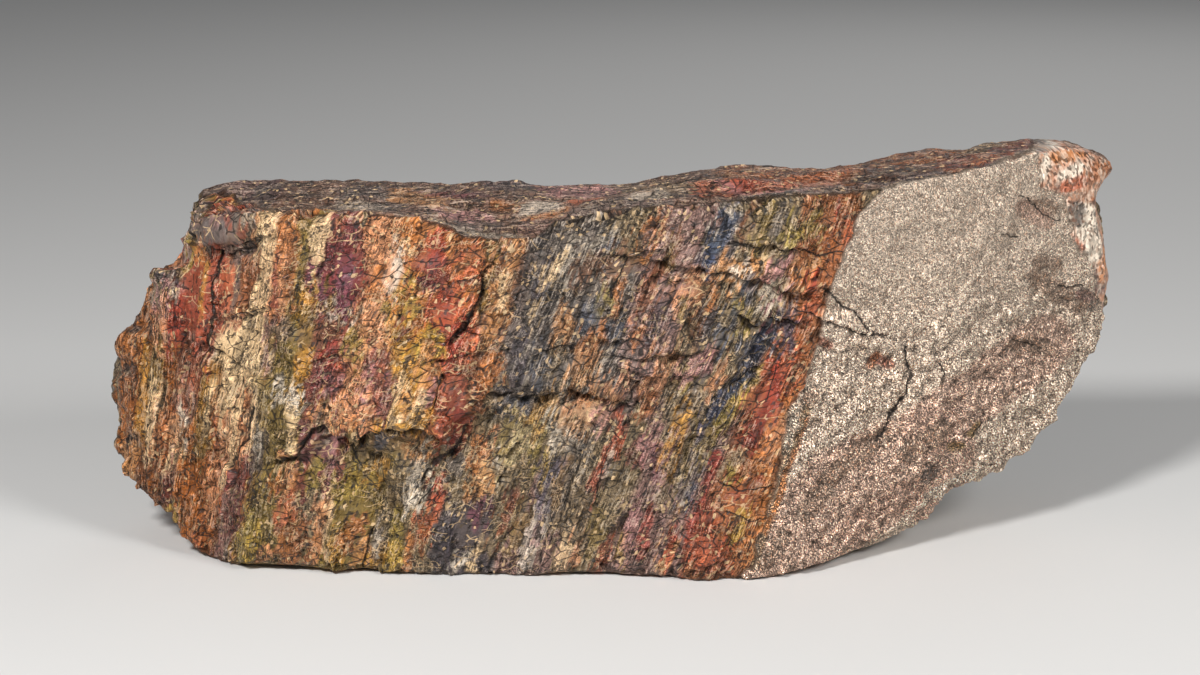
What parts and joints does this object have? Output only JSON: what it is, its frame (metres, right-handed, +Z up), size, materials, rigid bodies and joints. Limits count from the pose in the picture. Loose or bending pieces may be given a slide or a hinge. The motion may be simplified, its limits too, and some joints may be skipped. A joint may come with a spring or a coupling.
{
  "type": "petrified wood chunk",
  "caption": "Broken chunk of petrified log with many-coloured grain up its front, a tan granular rind at one end and a flat spot underneath to rest on.",
  "frame": {"origin": "middle of the box, on the ground that the chunk rests on", "axes": "+X along the length, towards the tan rind; +Y to the back, away from the colourful split face; +Z up"},
  "size_m": [0.4816, 0.1606, 0.1879],
  "materials": {
    "stone": "matt broken stone with a few glossy chips"
  },
  "bodies": {
    "root": {"petrified_wood": "stone"}
  },
  "joints": []
}
